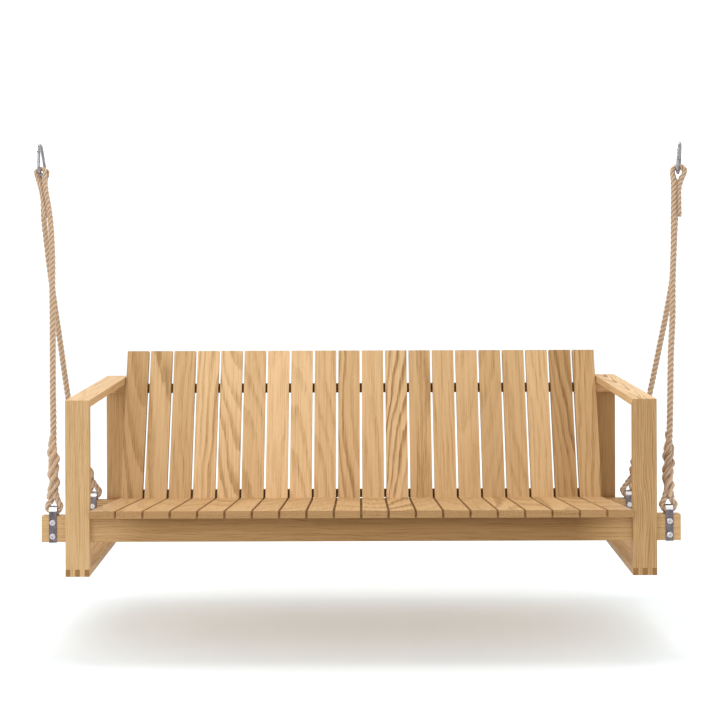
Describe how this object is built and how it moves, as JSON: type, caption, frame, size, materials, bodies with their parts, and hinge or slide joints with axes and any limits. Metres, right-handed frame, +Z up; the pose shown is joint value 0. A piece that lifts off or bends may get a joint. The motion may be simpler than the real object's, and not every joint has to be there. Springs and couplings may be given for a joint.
{
  "type": "porch swing",
  "caption": "Slatted oak porch swing bench with raked back and flat armrests, slung by four spliced ropes from two snap hooks.",
  "frame": {"origin": "midway between the seats of the two snap hooks, on the line the swing is hung from", "axes": "+X along the bench towards the sitter's left hand, which is the viewer's right, +Y from the open front to the back, +Z up"},
  "size_m": [1.9997, 0.6371, 1.2283],
  "materials": {
    "oak": "light oak, planed, clear oiled",
    "strap_steel": "satin stainless strap",
    "zinc_steel": "zinc plated fasteners",
    "hook_steel": "bright zinc plated wire",
    "rope": "natural three-strand laid rope"
  },
  "bodies": {
    "hangers": {"left_carabiner": "hook_steel", "right_carabiner": "hook_steel", "gate_rivets": "hook_steel"},
    "swing": {"left_front_post": "oak", "left_back_post": "oak", "left_armrest": "oak", "left_runner": "oak", "right_front_post": "oak", "right_back_post": "oak", "right_armrest": "oak", "right_runner": "oak", "front_beam": "oak", "rear_beam": "oak", "upper_back_rail": "oak", "lower_back_rail": "oak", "seat_slat_01": "oak", "seat_slat_02": "oak", "seat_slat_03": "oak", "seat_slat_04": "oak", "seat_slat_05": "oak", "seat_slat_06": "oak", "seat_slat_07": "oak", "seat_slat_08": "oak", "seat_slat_09": "oak", "seat_slat_10": "oak", "seat_slat_11": "oak", "seat_slat_12": "oak", "seat_slat_13": "oak", "seat_slat_14": "oak", "seat_slat_15": "oak", "seat_slat_16": "oak", "seat_slat_17": "oak", "seat_slat_18": "oak", "seat_slat_19": "oak", "seat_slat_20": "oak", "back_slats_01_02": "oak", "back_slats_03_04": "oak", "back_slats_05_06": "oak", "back_slats_07_08": "oak", "back_slats_09_10": "oak", "back_slats_11_12": "oak", "back_slats_13_14": "oak", "back_slats_15_16": "oak", "back_slats_17_18": "oak", "back_slats_19_20": "oak", "left_front_strap": "strap_steel", "left_rear_strap": "strap_steel", "right_front_strap": "strap_steel", "right_rear_strap": "strap_steel", "strap_bolts": "zinc_steel", "strap_nuts": "zinc_steel", "seat_screws": "zinc_steel", "back_screws": "zinc_steel", "frame_screws": "zinc_steel", "left_front_rope": "rope", "left_rear_rope": "rope", "right_front_rope": "rope", "right_rear_rope": "rope"},
    "left_gate": {"left_gate": "hook_steel"},
    "right_gate": {"right_gate": "hook_steel"}
  },
  "joints": [
    {"name": "swing_axis", "type": "hinge", "parent": "hangers", "child": "swing", "pos_m": [0, 0, -0.057], "axis": [1, 0, 0], "range_deg": [-20, 20]},
    {"name": "left_gate_hinge", "type": "hinge", "parent": "hangers", "child": "left_gate", "pos_m": [-0.98106, -0.01273, -0.01024], "axis": [0.9879, -0.1392, 0.0691], "range_deg": [0, 30], "stiffness_Nm_per_rad": 0.05, "springref_deg": -5.73},
    {"name": "right_gate_hinge", "type": "hinge", "parent": "hangers", "child": "right_gate", "pos_m": [0.97468, -0.012, -0.0098], "axis": [0.9313, -0.3584, -0.0651], "range_deg": [0, 30], "stiffness_Nm_per_rad": 0.05, "springref_deg": -5.73}
  ]
}
